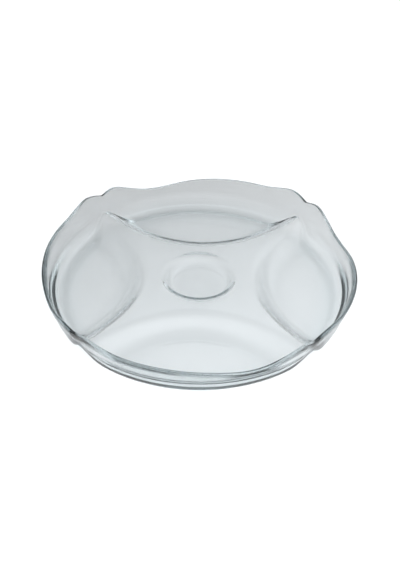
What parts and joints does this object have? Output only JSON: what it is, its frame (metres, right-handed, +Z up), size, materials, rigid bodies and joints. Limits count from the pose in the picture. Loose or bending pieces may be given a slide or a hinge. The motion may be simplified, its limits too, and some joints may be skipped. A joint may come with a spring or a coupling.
{
  "type": "chip and dip server",
  "caption": "Round serving dish of pressed clear glass with a wavy rim, four lens-shaped compartments and a round dip well in the middle.",
  "frame": {"origin": "middle of the dish, on the surface it stands on", "axes": "+Z up; -Y towards the person in front of the dish; each horizontal axis runs along the middle of a compartment"},
  "size_m": [0.3212, 0.3212, 0.0435],
  "materials": {
    "clear_glass": "clear pressed glass, fire polished"
  },
  "bodies": {
    "root": {"glass_dish": "clear_glass"}
  },
  "joints": []
}
